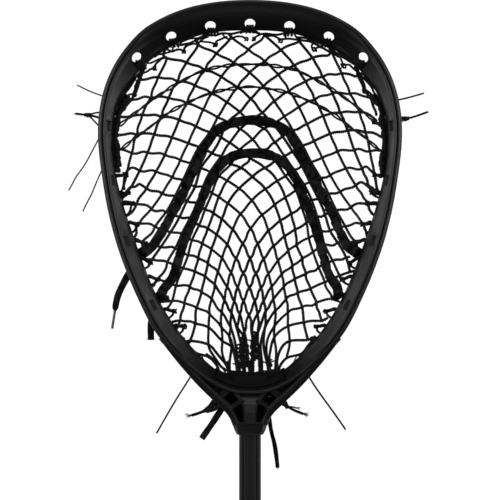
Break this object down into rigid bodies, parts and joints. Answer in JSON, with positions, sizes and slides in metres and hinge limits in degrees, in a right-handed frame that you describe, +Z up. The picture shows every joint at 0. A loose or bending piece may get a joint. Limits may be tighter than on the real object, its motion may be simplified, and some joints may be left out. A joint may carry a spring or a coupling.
{
  "type": "lacrosse goalie stick",
  "caption": "Lacrosse goalie stick: wide egg-shaped moulded head with a strung mesh pocket, shooting laces and a ball stop, on a hollow alloy shaft with a rubber butt cap.",
  "frame": {"origin": "centre of the butt cap's flat end face", "axes": "+Z up the shaft to the tip of the head, +X to the right seen from the catching face, which looks along -Y; the pocket sags towards +Y"},
  "size_m": [0.3644, 0.1105, 1.414],
  "materials": {
    "head_plastic": "satin moulded black plastic",
    "shaft_metal": "satin black coating on alloy tube",
    "cap_rubber": "matte black rubber",
    "screw_steel": "blackened steel",
    "stop_foam": "closed cell black foam",
    "mesh_cord": "waxed knotted polyester mesh, black",
    "string_cord": "braided black polyester string",
    "woven_lace": "flat woven black lace",
    "nylon_cord": "thin braided black nylon",
    "aglet_plastic": "clear grey plastic tip"
  },
  "bodies": {
    "stick": {"head_frame": "head_plastic", "shaft": "shaft_metal", "head_screw": "screw_steel", "ball_stop": "stop_foam", "pocket_mesh": "mesh_cord", "lace_aglet": "aglet_plastic", "top_string": "string_cord", "sidewall_string_left": "string_cord", "sidewall_string_right": "string_cord", "bottom_string": "string_cord", "shooting_lace_upper": "woven_lace", "shooting_lace_lower": "woven_lace", "nylon_shooter_upper": "nylon_cord", "nylon_shooter_lower": "nylon_cord", "nylon_end_left": "nylon_cord", "knotted_end_left": "string_cord", "thread_end_left_upper": "string_cord", "thread_end_left_lower": "string_cord", "nylon_end_right": "nylon_cord", "knotted_end_right": "string_cord", "lace_end_upper": "woven_lace", "lace_end_lower": "woven_lace", "string_end_low_left": "string_cord", "string_end_low_right": "string_cord", "frayed_end_left": "string_cord", "lace_end_throat_left": "woven_lace", "frayed_end_right": "string_cord", "lace_end_throat_right": "woven_lace"},
    "cap": {"butt_cap": "cap_rubber"}
  },
  "joints": [
    {"name": "butt_cap_pull", "type": "slide", "parent": "stick", "child": "cap", "axis": [0, 0, -1], "range_m": [0, 0.045]}
  ]
}
